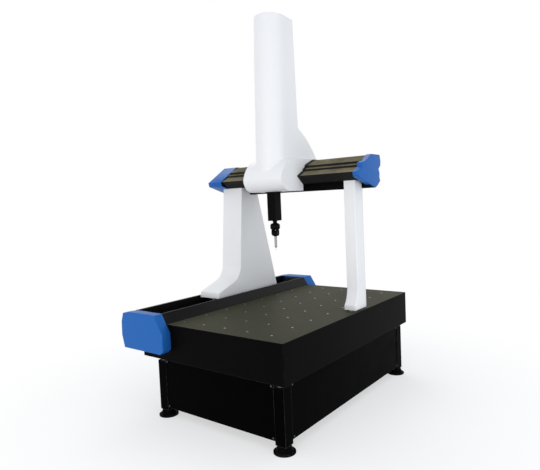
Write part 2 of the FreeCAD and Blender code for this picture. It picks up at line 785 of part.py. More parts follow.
def bridge():
    """The beam has a step along its lower front, and the legs' heads fill it."""
    legs()
    section = [
        (beam_front, lip_top),
        (beam_front + s.beam_step, lip_top),
        (beam_front + s.beam_step, s.beam_under),
        (beam_rear, s.beam_under),
        (beam_rear, beam_top),
        (beam_front + s.beam_chamfer, beam_top),
        (beam_front, beam_top - s.beam_chamfer),
    ]
    part("x_beam", prism("granite_beam", "YZ_Plane", section, beam_long, beam_start))
    recess = prism("beam_recess", "YZ_Plane", section, beam_long, beam_start)
    right_start = right_leg_x + s.right_leg_wide + s.right_cap_gap
    right = prism("right_cap_block", "YZ_Plane", cap_outline(True), s.right_cap_long, right_start)
    soften(right, flat_at(0, s.right_cap_long.number), s.beam_cap_bevel, "Chamfer")
    hollow(right, flat_at(0, 0), s.cap_wall)
    part("right_beam_cap", cut("right_cap_over_beam", right, [recess]))
    left_end = left_leg_x + s.left_cap_over
    left = prism("left_cap_block", "YZ_Plane", cap_outline(False), s.left_cap_long,
                 left_end - s.left_cap_long)
    soften(left, flat_at(0, 0), s.beam_cap_bevel, "Chamfer")
    hollow(left, flat_at(0, s.left_cap_long.number), s.cap_wall)
    lip_room = block("lip_room", (left_leg_x - 1, beam_front - s.leg_lip - 1, s.beam_under),
                     (s.left_leg_wide, s.beam_step + s.leg_lip + 2, s.leg_lip_high + 1))
    part("left_beam_cap", cut("left_cap_over_beam", left, [recess, lip_room]))

    carriage_x = slab_x - s.carriage_left
    gap = s.bellows_gap
    left_length = carriage_x - gap - left_end
    bellows("left_bellows", left_end, left_length, int(s.bellows_pleats_left.number))
    right_bellows = carriage_x + s.carriage_wide + gap
    bellows("right_bellows", right_bellows, right_start - right_bellows, int(s.bellows_pleats_right.number))

    bar_start = beam_start - s.bar_reach
    bar_end = beam_start + beam_long + s.bar_reach
    part("x_drive_bar", rod("x_bar", (bar_start, x_bar_y, x_bar_z), s.bar_radius, bar_end - bar_start, "x"))
    brackets = []
    for x in (beam_start, beam_start + beam_long - s.end_plate):
        brackets.append(block("bar_bracket", (x, x_bar_y - s.bar_radius - 5, x_bar_z - 14),
                              (s.end_plate, beam_front - x_bar_y + s.bar_radius + 5, 28)))
    hole = rod("bracket_bore", (bar_start, x_bar_y, x_bar_z), s.bar_radius, bar_end - bar_start, "x")
    part("x_bar_brackets", cut("brackets", fuse("bracket_blocks", brackets), [hole]))
    clear = s.end_plate + 2
    part("x_scale", block("x_scale_strip", (beam_start + clear, beam_front - s.scale_thick, x_scale_z),
                          (beam_long - clear * 2, s.scale_thick, s.scale_high)))
    bridge_bearings()
    bridge_drive()


x_bar_y = beam_front - 45
x_bar_z = s.beam_under + 115
x_scale_z = s.beam_under + 120
foot_low = beam_front - s.left_foot_front
foot_high = beam_front + s.left_foot_rear


def bridge_bearings():
    pads = []
    pad_x = slab_left + s.foot_pad_radius + 12
    for y in (foot_low + 80, foot_high - 80):
        low = table_top + s.air_gap
        pads.append(rod("foot_pad", (pad_x, y, low), s.foot_pad_radius, s.foot_pad_thick))
        stud = (pad_x, y, low + s.foot_pad_thick)
        stud_long = s.left_foot_under - table_top - s.air_gap - s.foot_pad_thick
        pads.append(rod("foot_pad_stud", stud, s.pad_stud, stud_long))
    sides = []
    for y in (foot_low + 150, foot_high - 200):
        for x in (bar_left - s.air_gap - s.side_pad_thick, bar_left + s.guide_bar_wide + s.air_gap):
            low = table_top + s.air_gap * 10
            sides.append(block("side_pad", (x, y, low),
                               (s.side_pad_thick, s.side_pad_long, s.left_foot_under - low)))
    part("side_pads", fuse("lateral_pads", sides))
    leg_middle = right_leg_x + s.right_leg_wide / 2
    front = beam_front - s.leg_lip - s.right_foot_out
    long = s.right_foot_out + s.right_leg_deep + s.leg_lip * 2
    for y in (front + long / 4, front + long * 3 / 4):
        pads.append(rod("right_pad", (leg_middle, y, table_top + s.air_gap), s.foot_pad_radius,
                        s.right_foot_under - table_top - s.air_gap))
    part("foot_pads", fuse("foot_pad_pieces", pads))


def bridge_drive():
    wheel_z = y_bar_z + s.bar_radius + s.air_gap + s.wheel_radius
    wheel_x = y_bar_x - s.wheel_wide / 2
    motor_x = wheel_x - s.air_gap - s.motor_long
    motor = rod("y_motor_body", (motor_x, bridge_drive_y, wheel_z), s.motor_radius, s.motor_long, "x")
    shaft_long = s.motor_long + s.wheel_wide + s.air_gap * 2
    shaft = rod("y_motor_shaft", (motor_x, bridge_drive_y, wheel_z), s.shaft_radius, shaft_long, "x")
    seat = block("y_motor_seat", (motor_x, bridge_drive_y - s.motor_radius, wheel_z),
                 (s.motor_long, s.motor_radius * 2, s.left_foot_under + 23 - wheel_z))
    part("y_drive_motor", fuse("y_motor", [motor, shaft, seat]))
    wheel = rod("y_wheel_disc", (wheel_x, bridge_drive_y, wheel_z), s.wheel_radius, s.wheel_wide, "x")
    bore = rod("y_wheel_bore", (wheel_x - 1, bridge_drive_y, wheel_z), s.shaft_radius + s.shaft_gap,
               s.wheel_wide + 2, "x")
    part("y_drive_wheel", cut("y_wheel", wheel, [bore]))
    reader_y = bridge_drive_y + s.motor_radius * 3
    reader_x = bar_left + s.guide_bar_wide + s.air_gap * 3
    reach = wall_back - s.scale_thick - s.reader_gap - reader_x
    part("y_reader_head", block("y_reader", (reader_x, reader_y, table_top + s.guide_bar_high / 2),
                                (reach, s.reader_long, s.left_foot_under - table_top - s.guide_bar_high / 2)))


carriage_x = slab_x - s.carriage_left
middle_x = slab_x + s.tower_x
ram_y = beam_front - s.ram_back
hump_rear = beam_front + s.hump_back


def carriage_outline(inset):
    """The carriage's side profile, as a D in front and upright behind, drawn in by a wall."""
    front = beam_front - s.carriage_front + inset
    throat = beam_front - s.carriage_throat
    return [
        (throat, s.carriage_under + inset),
        (throat + s.rear_rise, s.carriage_under + s.rear_rise + inset),
        (beam_front + s.carriage_rear - inset, s.carriage_under + s.rear_rise + inset),
        (beam_front + s.carriage_rear - inset, s.carriage_top - 60),
        (beam_front + s.carriage_rear - 22, s.carriage_top - inset),
        (beam_front - s.carriage_brow, s.carriage_top - inset, s.brow_round - inset),
        (front, s.carriage_front_high, s.chin_round - inset),
        (beam_front - s.carriage_chin, s.carriage_under + inset),
    ]


def opening_outline(gap):
    """The way through the carriage for the beam and its bellows, open below."""
    grown = bellows_outline(gap)
    top = s.carriage_top - s.beam_under - s.shell
    corners = [(-s.carriage_throat, sized(-20)), (-s.carriage_throat, sized(50))]
    for back, rise in grown:
        limited = rise if rise < top.number else top
        corners.append((sized(back), sized(limited)))
    corners.append((sized(grown[-1][0] + 6), sized(-20)))
    return [(beam_front + back, s.beam_under + rise) for back, rise in corners][::-1]


def hump_outline(inset):
    """The housing behind the tower: it falls in one long curve to the carriage's top."""
    low = s.carriage_top - 60
    return [
        (beam_front, low),
        (beam_front + s.hump_back + 14 - inset, low),
        (beam_front + s.hump_back - inset, s.hump_low, s.hump_round - inset),
        (beam_front + s.tower_back, s.hump_high - inset * 1.5),
        (beam_front, s.hump_high - inset * 1.5),
    ]


mast_top = s.ram_low + s.ram_long + s.mast_over_ram
tower_top_front = mast_top + s.tower_room
tower_top_rear = tower_top_front - s.tower_roof_drop


def shroud():
    """Carriage cover, tower and hump are one moulding, blended where the tower leaves the carriage."""
    wall = s.shell
    outside = [
        prism("carriage_block", "YZ_Plane", carriage_outline(sized(0)), s.carriage_wide, carriage_x),
        tower_solid("tower_outside", sized(0)),
        prism("hump", "YZ_Plane", hump_outline(sized(0)), s.tower_half * 2, middle_x - s.tower_half),
    ]
    whole = fuse("shroud_outside", outside)
    whole.Refine = True
    doc.recompute()
    blended = doc.addObject("Part::Fillet", "shroud_blend")
    blended.Base = whole
    picks = []
    for index, edge in enumerate(whole.Shape.Edges):
        box = edge.BoundBox
        meets = abs(box.ZMax - s.carriage_top.number) < 0.01 and box.YMax < hump_rear.number - 1
        beside = box.XMin > carriage_x.number + 1 and box.XMax < (carriage_x + s.carriage_wide).number - 1
        if meets and beside:
            picks.append((index + 1, s.shroud_blend.number, s.shroud_blend.number))
    blended.Edges = picks
    inside = prism("carriage_room", "YZ_Plane", carriage_outline(wall), s.carriage_wide - wall * 2,
                   carriage_x + wall)
    hump_room = prism("hump_room", "YZ_Plane", hump_outline(wall), (s.tower_half - wall) * 2,
                      middle_x - s.tower_half + wall)
    way = prism("beam_way", "YZ_Plane", opening_outline(s.seal_gap.number), s.carriage_wide + 2,
                carriage_x - 1)
    under = block("under_way", (carriage_x + wall, beam_front - s.carriage_throat, s.carriage_under - 1),
                  (s.carriage_wide - wall * 2, s.carriage_throat + s.carriage_rear - wall,
                   s.rear_rise + wall + 2))
    ram_way = block("ram_way", (middle_x - s.ram_side / 2 - wall, ram_y - s.ram_side / 2 - wall,
                                s.carriage_under - 1),
                    (s.ram_side + wall * 2, s.ram_side + wall * 2, wall + 2))
    slope = [
        (beam_front - s.carriage_front, tower_top_front),
        (beam_front + s.tower_back, tower_top_rear),
        (beam_front + s.tower_back, tower_top_front + 60),
        (beam_front - s.carriage_front, tower_top_front + 60),
    ]
    roof = prism("roof_cut", "YZ_Plane", slope, s.tower_half * 3, middle_x - s.tower_half * 1.5)
    rooms = [inside, tower_solid("tower_room", wall), hump_room, way, under, ram_way, roof]
    part("carriage_shroud", cut("shroud_shell", blended, rooms))

    seals = []
    for name, x in (("left_seal", carriage_x), ("right_seal", carriage_x + s.carriage_wide - wall)):
        frame = prism(name, "YZ_Plane", opening_outline(s.seal_gap.number), wall, x)
        inner = prism(name + "_way", "YZ_Plane", opening_outline(s.seal_lip.number), wall + 2, x - 1)
        foot = block(name + "_foot", (x - 1, beam_front - s.carriage_throat - 1, s.beam_under - 21),
                     (wall + 2, s.carriage_throat + s.carriage_rear, s.rear_rise + 21))
        seals.append(cut(name + "_ring", frame, [inner, foot]))
    part("bellows_seals", fuse("seals", seals))


def tower_solid(name, inset):
    """A tall D that tapers upwards, from two sections; an inset gives the room inside its wall."""
    tall = tower_top_front + 20 - s.tower_low
    sections = []
    levels = (
        ("low", sized(0), sized(0), s.tower_low),
        ("high", sized(1), s.tower_lean_front, s.tower_low + tall),
    )
    for level, rise, lean, z in levels:
        half = s.tower_half - inset
        front = beam_front - s.carriage_front + s.tower_set_back + lean + inset
        back = beam_front + s.tower_back + s.shell * 2 - s.tower_lean_back * rise - inset
        if level == "high" and inset.number:
            z = tower_top_rear - inset
        outline = [
            (middle_x - half, back),
            (middle_x - half, front + half, half),
            (middle_x, front, half),
            (middle_x + half, front + half),
            (middle_x + half, back),
        ]
        sketch = doc.addObject("Sketcher::SketchObject", "%s_%s" % (name, level))
        bind(sketch, "Placement.Base.z", z)
        draw(sketch, outline)
        sections.append(sketch)
    loft = doc.addObject("Part::Loft", name)
    loft.Sections = sections
    loft.Solid = True
    loft.Ruled = True
    return loft


def carriage_frame():
    half = s.housing_half
    housing = block("housing", (middle_x - half, ram_y - half, s.housing_low),
                    (half * 2, half * 2, s.housing_top - s.housing_low))
    room = half - s.housing_wall
    bore = block("housing_bore", (middle_x - room, ram_y - room, s.housing_low - 1),
                 (room * 2, room * 2, s.housing_top - s.housing_low + 2))
    saddle_low = beam_top + s.saddle_gap
    rear_web = beam_rear + s.web_gap
    saddle_front = ram_y + half
    plate = block("saddle", (middle_x - s.frame_half, saddle_front, saddle_low),
                  (s.frame_half * 2, rear_web + s.housing_wall - saddle_front, s.saddle_thick))
    front_web = block("front_web", (middle_x - s.frame_half, beam_front - s.web_gap - s.housing_wall,
                                    s.web_low), (s.frame_half * 2, s.housing_wall, saddle_low - s.web_low))
    back_web = block("back_web", (middle_x - s.frame_half, rear_web, s.rear_web_low),
                     (s.frame_half * 2, s.housing_wall, saddle_low - s.rear_web_low))
    part("carriage_frame", cut("frame", fuse("frame_blocks", [housing, plate, front_web, back_web]), [bore]))

    pads = []
    for x in (middle_x - s.frame_half + 5, middle_x + s.frame_half - 45):
        pads.append(block("front_pad", (x, beam_front - s.web_gap, s.web_low + 5),
                          (40, s.web_gap - s.air_gap, 40)))
        pads.append(block("rear_pad_low", (x, beam_rear + s.air_gap, s.rear_web_low + 5),
                          (40, s.web_gap - s.air_gap, 40)))
        pads.append(block("rear_pad_high", (x, beam_rear + s.air_gap, saddle_low - 60),
                          (40, s.web_gap - s.air_gap, 40)))
        pads.append(block("top_pad", (x, beam_front + s.beam_deep / 2 - 30, beam_top + s.air_gap),
                          (40, 60, s.saddle_gap - s.air_gap)))
    part("beam_pads", fuse("beam_pad_blocks", pads))

    gap = room - s.ram_side / 2
    pads = []
    for z in (s.housing_low + 20, s.housing_top - s.ram_pad_high - 20):
        for side in (-1, 1):
            near = s.ram_side / 2 + s.air_gap
            x = middle_x + near if side > 0 else middle_x - room
            y = ram_y + near if side > 0 else ram_y - room
            pads.append(block("ram_pad_x", (x, ram_y - s.ram_pad_wide / 2, z),
                              (gap - s.air_gap, s.ram_pad_wide, s.ram_pad_high)))
            pads.append(block("ram_pad_y", (middle_x - s.ram_pad_wide / 2, y, z),
                              (s.ram_pad_wide, gap - s.air_gap, s.ram_pad_high)))
    part("ram_pads", fuse("ram_pad_blocks", pads))

    mast = block("mast_plate", (middle_x - s.mast_half, saddle_front, saddle_low + s.saddle_thick),
                 (s.mast_half * 2, s.mast_thick, mast_top - saddle_low - s.saddle_thick))
    windows = []
    window_low = s.housing_top + s.window_gap
    window_pitch = (mast_top - s.crosshead_thick * 3 + s.window_gap - window_low) / 4
    for level in range(4):
        windows.append(block("mast_window", (middle_x - s.mast_half + 20, saddle_front - 1,
                                             window_low + window_pitch * level),
                             (s.mast_half * 2 - 40, s.mast_thick + 2, window_pitch - s.window_gap)))
    crosshead = block("crosshead", (middle_x - 25, ram_y - 25, mast_top - s.crosshead_thick),
                      (50, saddle_front - ram_y + 25, s.crosshead_thick))
    part("z_mast", fuse("mast", [cut("mast_with_windows", mast, windows), crosshead]))

    wiper_outer = s.ram_side / 2 + 9
    wiper_low = s.carriage_under - s.wiper_thick
    wiper = block("wiper_frame", (middle_x - wiper_outer, ram_y - wiper_outer, wiper_low),
                  (wiper_outer * 2, wiper_outer * 2, s.wiper_thick))
    wiper_gap = s.ram_side / 2 + s.scale_thick + s.air_gap
    wiper_way = block("wiper_way", (middle_x - wiper_gap, ram_y - wiper_gap, wiper_low - 1),
                      (wiper_gap * 2, wiper_gap * 2, s.wiper_thick + 2))
    part("ram_wiper", cut("wiper", wiper, [wiper_way]))


x_wheel_x = middle_x + s.housing_half + 50
x_wheel_z = x_bar_z - s.bar_radius - s.air_gap - s.wheel_radius
z_wheel_x = middle_x + s.ram_side / 2 + s.air_gap + s.wheel_radius
z_wheel_z = s.housing_top + 65


def carriage_drives():
    wheel_y = x_bar_y - s.wheel_wide / 2
    motor_y = wheel_y - s.air_gap - s.motor_long
    motor = rod("x_motor_body", (x_wheel_x, motor_y, x_wheel_z), s.motor_radius, s.motor_long, "y")
    shaft = rod("x_motor_shaft", (x_wheel_x, motor_y, x_wheel_z), s.shaft_radius,
                s.motor_long + s.wheel_wide + s.air_gap * 2, "y")
    reach = x_wheel_x - middle_x - s.housing_half
    arm = block("x_motor_arm", (middle_x + s.housing_half, motor_y + 10, x_wheel_z - s.motor_radius),
                (reach, 24, s.motor_radius * 2))
    part("x_drive_motor", fuse("x_motor", [motor, shaft, arm]))
    disc = rod("x_wheel_disc", (x_wheel_x, wheel_y, x_wheel_z), s.wheel_radius, s.wheel_wide, "y")
    bore = rod("x_wheel_bore", (x_wheel_x, wheel_y - 1, x_wheel_z), s.shaft_radius + s.shaft_gap,
               s.wheel_wide + 2, "y")
    part("x_drive_wheel", cut("x_wheel", disc, [bore]))

    wheel_y = ram_y - s.wheel_wide / 2
    motor_y = wheel_y - s.air_gap - s.z_motor_long
    motor = rod("z_motor_body", (z_wheel_x, motor_y, z_wheel_z), s.motor_radius, s.z_motor_long, "y")
    shaft = rod("z_motor_shaft", (z_wheel_x, motor_y, z_wheel_z), s.shaft_radius,
                s.z_motor_long + s.wheel_wide + s.air_gap * 2, "y")
    stand_y = ram_y - s.housing_half
    seat = block("z_motor_seat", (z_wheel_x - s.motor_radius, stand_y, s.housing_top),
                 (s.motor_radius * 2, wheel_y - s.air_gap - stand_y, z_wheel_z - s.housing_top))
    part("z_drive_motor", fuse("z_motor", [motor, shaft, seat]))
    disc = rod("z_wheel_disc", (z_wheel_x, wheel_y, z_wheel_z), s.wheel_radius, s.wheel_wide, "y")
    bore = rod("z_wheel_bore", (z_wheel_x, wheel_y - 1, z_wheel_z), s.shaft_radius + s.shaft_gap,
               s.wheel_wide + 2, "y")
    part("z_drive_wheel", cut("z_wheel", disc, [bore]))

    x_reader_x = middle_x - s.frame_half - s.reader_long
    reader_y = beam_front - s.web_gap
    part("x_reader_head", block("x_reader", (x_reader_x, reader_y, x_scale_z - 15),
                                (s.reader_long + 10, s.web_gap - s.scale_thick - s.reader_gap, 40)))
    left = middle_x - s.ram_side / 2 - s.scale_thick - s.reader_gap
    part("z_reader_head", block("z_reader", (left - 20, z_scale_y - 4, s.housing_top), (20, 18, s.reader_long)))


z_scale_y = ram_y - s.ram_side / 2 + 6


def ram():
    half = s.ram_side / 2
    low = s.ram_low + s.ram_plate
    long = s.ram_long - s.ram_plate
    column = block("ram_column", (middle_x - half, ram_y - half, low), (s.ram_side, s.ram_side, long))
    hole = half - s.ram_wall
    core = block("ram_core", (middle_x - hole, ram_y - hole, low - 1), (hole * 2, hole * 2, long + 2))
    part("z_ram", cut("ram_tube", column, [core]))
    plate = block("ram_plate_block", (middle_x - half, ram_y - half, s.ram_low),
                  (s.ram_side, s.ram_side, s.ram_plate))
    bore = rod("ram_plate_bore", (middle_x, ram_y, s.ram_low - 1), s.spigot_radius, s.ram_plate + 2)
    part("ram_end_plate", cut("ram_plate_with_bore", plate, [bore]))
    strip = (middle_x - half - s.scale_thick, z_scale_y, low + 20)
    part("z_scale", block("z_scale_strip", strip, (s.scale_thick, s.scale_high, long - 40)))

    tube = rod("balance_tube", (middle_x, ram_y, low), s.balance_radius, long)
    chamber = rod("balance_chamber", (middle_x, ram_y, low + s.balance_head), s.balance_bore,
                  long - s.balance_head * 2)
    rod_way = rod("balance_rod_way", (middle_x, ram_y, low + long - s.balance_head - 1),
                  s.balance_rod_radius + s.piston_gap, s.balance_head + 2)
    part("balance_cylinder", cut("balance_barrel", tube, [chamber, rod_way]))
    piston = rod("piston", (middle_x, ram_y, s.piston_low), s.balance_bore - s.piston_gap, s.piston_tall)
    stem_low = s.piston_low + s.piston_tall
    stem = rod("balance_stem", (middle_x, ram_y, stem_low), s.balance_rod_radius,
               mast_top - s.crosshead_thick - stem_low)
    part("balance_rod", fuse("balance_piston_and_stem", [piston, stem]))


head_top = s.ram_low - s.neck_tall - s.air_gap
head_low = head_top - s.head_tall
tilt_z = head_low - s.tilt_drop
probe_top = tilt_z - s.ball_radius + 6


def probe_head():
    spot = (middle_x, ram_y, 0)
    flare_low = s.ram_low - s.neck_flare
    neck = [
        (0, s.ram_low - s.neck_tall - s.spigot_tall),
        (s.spigot_radius, s.ram_low - s.neck_tall - s.spigot_tall),
        (s.spigot_radius, s.ram_low - s.neck_tall),
        (s.neck_radius, s.ram_low - s.neck_tall),
        (s.neck_radius, flare_low, -s.neck_flare),
        (s.neck_radius + s.neck_flare, s.ram_low),
        (s.spigot_radius, s.ram_low),
        (s.spigot_radius, s.ram_low + s.ram_plate - 2),
        (0, s.ram_low + s.ram_plate - 2),
    ]
    part("head_mount", revolved("head_neck", neck, spot))

    bore = s.spigot_radius + s.shaft_gap
    barrel = [
        (0, head_low),
        (s.head_radius - s.head_bevel, head_low),
        (s.head_radius, head_low + s.head_bevel),
        (s.head_radius, head_top - s.head_bevel),
        (s.head_radius - s.head_bevel, head_top),
        (bore, head_top),
        (bore, head_top - s.spigot_tall - 1),
        (0, head_top - s.spigot_tall - 1),
    ]
    body = revolved("head_barrel", barrel, spot)
    cheeks, bores = [], []
    slot = s.ball_radius - s.cheek_thick
    for x in (middle_x - s.ball_radius, middle_x + slot):
        cheeks.append(block("cheek", (x, ram_y - s.cheek_half, tilt_z),
                            (s.cheek_thick, s.cheek_half * 2, s.tilt_drop)))
        cheeks.append(rod("cheek_end", (x, ram_y, tilt_z), s.cheek_half, s.cheek_thick, "x"))
        bores.append(rod("cheek_bore", (x - 1, ram_y, tilt_z), s.tilt_pin + s.shaft_gap,
                         s.cheek_thick + 2, "x"))
    part("head_body", cut("head_fork", fuse("head_and_cheeks", [body] + cheeks), bores))

    full = ball("knuckle_ball", (middle_x, ram_y, tilt_z), s.ball_radius)
    free = slot - s.air_gap
    between = block("knuckle_width", (middle_x - free, ram_y - s.ball_radius, tilt_z - s.ball_radius),
                    (free * 2, s.ball_radius * 2, s.ball_radius * 2))
    pin_hole = rod("knuckle_bore", (middle_x - free - 1, ram_y, tilt_z), s.tilt_pin, free * 2 + 2, "x")
    socket = rod("probe_socket", (middle_x, ram_y, probe_top - s.probe_socket), s.probe_radius,
                 s.probe_socket)
    knuckle = common("knuckle", [full, between])
    part("head_knuckle", cut("knuckle_with_bores", knuckle, [pin_hole, socket]))
    part("tilt_pin", rod("tilt_axle", (middle_x - s.ball_radius, ram_y, tilt_z), s.tilt_pin,
                         s.ball_radius * 2, "x"))

    probe_low = tilt_z - s.ball_radius - s.probe_long + 14
    probe = [
        (0, probe_low),
        (s.stylus_radius * 2, probe_low),
        (s.probe_radius, probe_low + s.probe_nose),
        (s.probe_radius, probe_top - 0.2),
        (0, probe_top - 0.2),
    ]
    part("touch_probe", revolved("probe_barrel", probe, spot))
    tip_z = probe_low - s.stylus_long
    part("stylus_stem", rod("stylus", (middle_x, ram_y, tip_z + s.tip_radius - 0.3), s.stylus_radius,
                            s.stylus_long - s.tip_radius + 0.3))
    ruby = ball("ruby", (middle_x, ram_y, tip_z), s.tip_radius)
    stem_way = rod("ruby_bore", (middle_x, ram_y, tip_z + s.tip_radius - 0.3), s.stylus_radius, 2)
    part("stylus_tip", cut("ruby_tip", ruby, [stem_way]))


table()
stand()
guideway()
bridge()
shroud()
carriage_frame()
carriage_drives()
ram()
probe_head()
doc.recompute()

faulty = [thing.Name for thing in doc.Objects if "Invalid" in thing.State or "Error" in thing.State]
if faulty:
    raise SystemExit("these objects failed: " + ", ".join(faulty))
for piece in parts:
    if piece.Shape.isNull() or not piece.Shape.isValid() or not piece.Shape.Solids:
        raise SystemExit("this part has no valid solid: " + piece.Label)

os.makedirs("parts", exist_ok=True)
for piece in parts:
    piece.Shape.exportStep(os.path.join("parts", piece.Label + ".step"))
print("%d parts" % len(parts))
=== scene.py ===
import json
from math import cos, radians, sin

import bmesh
import bpy
from mathutils import Matrix, Vector


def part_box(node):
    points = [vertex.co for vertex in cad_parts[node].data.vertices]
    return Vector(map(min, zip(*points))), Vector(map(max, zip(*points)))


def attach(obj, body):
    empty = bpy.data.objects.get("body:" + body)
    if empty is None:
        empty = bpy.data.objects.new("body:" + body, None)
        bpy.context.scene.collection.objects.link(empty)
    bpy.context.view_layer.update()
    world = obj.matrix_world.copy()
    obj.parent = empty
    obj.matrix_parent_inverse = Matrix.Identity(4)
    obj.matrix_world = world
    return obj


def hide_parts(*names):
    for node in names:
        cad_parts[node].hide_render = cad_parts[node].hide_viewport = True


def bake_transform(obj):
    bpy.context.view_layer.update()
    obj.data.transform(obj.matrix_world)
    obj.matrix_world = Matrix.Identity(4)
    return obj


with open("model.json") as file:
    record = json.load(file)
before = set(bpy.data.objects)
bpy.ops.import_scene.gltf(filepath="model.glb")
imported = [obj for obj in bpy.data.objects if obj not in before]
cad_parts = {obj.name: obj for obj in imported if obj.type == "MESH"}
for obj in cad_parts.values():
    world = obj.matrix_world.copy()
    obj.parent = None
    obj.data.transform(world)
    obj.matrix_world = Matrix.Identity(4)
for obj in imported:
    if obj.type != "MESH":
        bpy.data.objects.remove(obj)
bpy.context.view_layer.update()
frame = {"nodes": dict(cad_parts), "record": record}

# Colours are linear, as the shader takes them.
WHITE_PAINT = (0.83, 0.83, 0.835)
CAP_BLUE = (0.013, 0.116, 0.41)
STAND_BLACK = (0.0005, 0.0005, 0.0005)
GUIDE_BLACK = (0.0034, 0.0030, 0.0029)
GRANITE_DARK = (0.0021, 0.0017, 0.0017)
# The granite's top colour is painted light: lighter and more olive than the sides, as if lit from above.
GRANITE_LIT_TOP = (0.047, 0.047, 0.029)
BELLOWS_DARK = (0.004, 0.0035, 0.003)
# The bellows' pale colour is partly dust and partly painted light on its up-facing facets.
BELLOWS_DUSTY_LIT = (0.18, 0.155, 0.078)
RAM_BLACK = (0.0016, 0.0016, 0.0016)
STEEL = (0.52, 0.51, 0.50)
ALUMINIUM = (0.62, 0.63, 0.64)
PALE_FLOOR = (0.93, 0.93, 0.93)
PLAIN_WHITE = (1.0, 1.0, 1.0)
COOL_AIR = (0.95, 0.98, 1.025)

# The bellows' outer profile, in millimetres back from the beam's front and up from its underside.
BELLOWS_PROFILE = [
    (-15, 60), (-90, 116), (-12, 153), (-8, 168), (16, 180), (20, 197), (130, 243), (250, 243),
    (262, 199), (256, 166), (228, 139), (240, 109), (238, 77), (248, 51),
]
LEFT_PLEATS = 26
RIGHT_PLEATS = 28

# Lengths from here on are in metres.
PLEAT_DEPTH = 0.0046
FOLD_EASE = 0.0007
CLOTH_WALL = 0.0011
COLLAR_RISE = 0.0045
COLLAR_WALL = 0.003
COLLAR_LONG = 0.020
COLLAR_EASE = 0.0006
COLLAR_CORNER = radians(70)
CAP_EASE = 0.0025
LEG_EASE = 0.0030
SHARP_EDGE = radians(32)
FLAT_EDGE = radians(0.5)
SAME_SPOT = 0.00001

# The floor lies just under the feet. Its glow takes over from its paint across the fade, from this share.
FLOOR_WIDE = 60
FLOOR_DROP = 0.001
FLOOR_FADE = (1.0, 2.8)
FLOOR_GLOW = 0.55

AMBIENT_LIGHT = 0.82

# The viewpoint that was fitted to the photograph, with yaw, pitch and roll in radians, and with
# lens and film in millimetres.
CAMERA_SPOT = (2.39625, -3.22731, 1.51446)
CAMERA_TURN = (0.656578, -0.064442, -0.043328)
CAMERA_LENS = 33.549
CAMERA_FILM = 36.0

SLOTS = {entry["node"]: entry["material_slot"] for entry in frame["record"]["subparts"]}
BODIES = {node: body for body, nodes in frame["record"]["behaviour"]["bodies"].items() for node in nodes}


class Finish:
    """One node-based material, with short calls for the nodes that its surface is made of."""

    def __init__(self, name):
        self.material = bpy.data.materials.new(name)
        self.material.use_nodes = True
        self.nodes = self.material.node_tree.nodes
        self.links = self.material.node_tree.links
        self.shader = self.nodes["Principled BSDF"]
        self.place = self.nodes.new("ShaderNodeTexCoord").outputs["Object"]

    def add(self, kind, inputs=None, **settings):
        node = self.nodes.new(kind)
        for setting, value in settings.items():
            setattr(node, setting, value)
        for socket, value in (inputs or {}).items():
            self.feed(node.inputs[socket], value)
        return node

    def feed(self, socket, value):
        if isinstance(value, bpy.types.NodeSocket):
            self.links.new(value, socket)
        else:
            socket.default_value = value

    def stretched(self, scale):
        """Object coordinates scaled by axis, so that a pattern draws out along one direction."""
        return self.add("ShaderNodeMapping", {"Vector": self.place, "Scale": scale}).outputs["Vector"]

    def noise(self, scale, detail=4.0, roughness=0.55, vector=None):
        inputs = {"Vector": vector or self.place, "Scale": scale, "Detail": detail, "Roughness": roughness}
        return self.add("ShaderNodeTexNoise", inputs).outputs["Fac"]

    def ramp(self, fac, stops):
        """A colour ramp from (position, colour or grey level) stops."""
        node = self.add("ShaderNodeValToRGB", {"Fac": fac})
        elements = node.color_ramp.elements
        while len(elements) < len(stops):
            elements.new(0.5)
        for element, (position, colour) in zip(elements, stops):
            element.position = position
            if isinstance(colour, (int, float)):
                colour = (colour, colour, colour)
            element.color = (*colour, 1.0)
        return node.outputs["Color"]

    def mix(self, fac, first, second, blend="MIX"):
        node = self.add("ShaderNodeMix", data_type="RGBA", blend_type=blend)
        for socket, value in ((node.inputs[0], fac), (node.inputs[6], first), (node.inputs[7], second)):
            if isinstance(value, tuple) and len(value) == 3:
                value = (*value, 1.0)
            self.feed(socket, value)
        return node.outputs[2]

    def scaled(self, value, low, high):
        """Spreads a value from 0..1 over low..high."""
        inputs = {"Value": value, "To Min": low, "To Max": high}
        return self.add("ShaderNodeMapRange", inputs).outputs["Result"]

    def bump(self, height, strength, distance, normal=None):
        inputs = {"Height": height, "Strength": strength, "Distance": distance}
        if normal is not None:
            inputs["Normal"] = normal
        return self.add("ShaderNodeBump", inputs).outputs["Normal"]

    def upwards(self):
        """How far the surface faces up: 1 for a level top, 0 for an upright side."""
        normal = self.add("ShaderNodeNewGeometry").outputs["Normal"]
        return self.add("ShaderNodeSeparateXYZ", {"Vector": normal}).outputs["Z"]

    def eased(self, radius):
        """The surface's normal with its sharp edges eased over a radius."""
        return self.add("ShaderNodeBevel", {"Radius": radius}, samples=8).outputs["Normal"]

    def rubbed_and_highlit_edges(self, radius):
        """1 at a sharp edge, lightened there partly as rubbed wear and partly as a painted highlight,
        falling to 0 a radius away from it, and broken up along it.
        """
        normals = {0: self.eased(radius), 1: self.add("ShaderNodeNewGeometry").outputs["Normal"]}
        turned = self.add("ShaderNodeVectorMath", normals, operation="DOT_PRODUCT").outputs["Value"]
        edge = self.ramp(turned, [(0.80, 1.0), (0.98, 0.0)])
        breaks = self.ramp(self.noise(14.0, 4.0, 0.6), [(0.40, 0.25), (0.60, 1.0)])
        return self.mix(1.0, edge, breaks, "MULTIPLY")

    def done(self, **sockets):
        """Sets the shader's sockets, named by words with underscores, and gives the material."""
        for word, value in sockets.items():
            socket = self.shader.inputs[word.replace("_", " ")]
            if isinstance(value, tuple) and len(value) == 3:
                value = (*value, 1.0)
            self.feed(socket, value)
        return self.material


